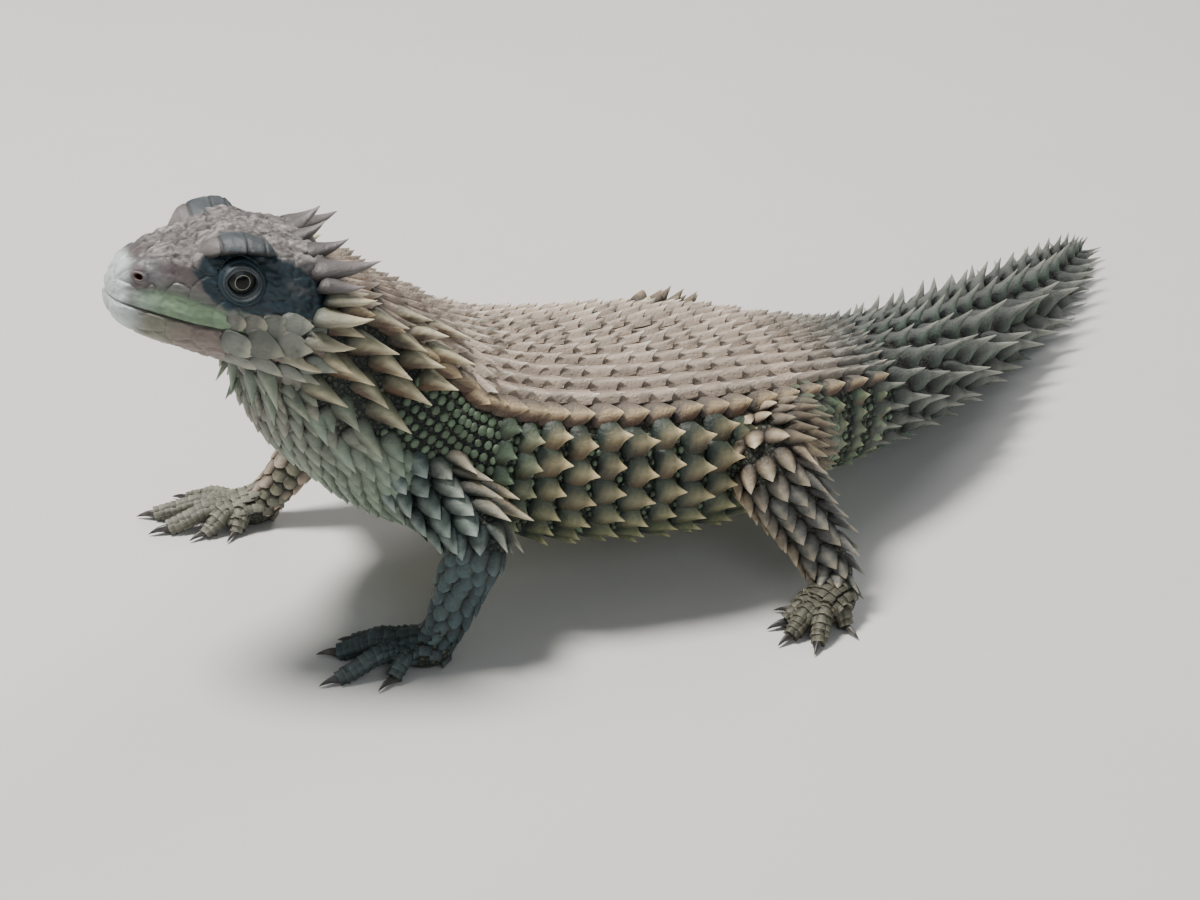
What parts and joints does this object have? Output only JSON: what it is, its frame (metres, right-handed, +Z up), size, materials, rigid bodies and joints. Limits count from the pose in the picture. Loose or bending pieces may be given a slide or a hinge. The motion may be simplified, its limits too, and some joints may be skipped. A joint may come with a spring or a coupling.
{
  "type": "sungazer lizard",
  "caption": "Life-size still model of a heavy-bodied spiny lizard standing with head and forebody raised, keeled plates over its back and rings of large spines round its tail.",
  "frame": {"origin": "on the floor under the middle of the whole model's bounding box", "axes": "+X from the snout towards the tip of the tail, +Y towards the animal's right side, +Z up"},
  "size_m": [0.3207, 0.1693, 0.1015],
  "materials": {
    "head_scales": "rough keratin shields, brown-grey, dull satin",
    "jaw_scales": "small pale cream scales, satin",
    "eye": "wet dark brown iris and black pupil",
    "neck_scales": "cream-yellow spines over dark skin, satin",
    "body_scales": "keeled tan-brown plates with pale rear points, dull",
    "limb_scales": "pointed straw and brown scales with dark bases, dull",
    "foot_scales": "ringed scutes with dark grey claws, dull"
  },
  "bodies": {
    "root": {"head": "head_scales", "jaw": "jaw_scales", "left_eye": "eye", "right_eye": "eye", "neck": "neck_scales", "torso": "body_scales", "tail_base": "body_scales", "tail_middle": "body_scales", "tail_end": "body_scales", "left_upper_arm": "limb_scales", "left_forearm": "limb_scales", "left_thigh": "limb_scales", "left_shank": "limb_scales", "left_hand": "foot_scales", "left_foot": "foot_scales", "right_upper_arm": "limb_scales", "right_forearm": "limb_scales", "right_thigh": "limb_scales", "right_shank": "limb_scales", "right_hand": "foot_scales", "right_foot": "foot_scales"}
  },
  "joints": []
}
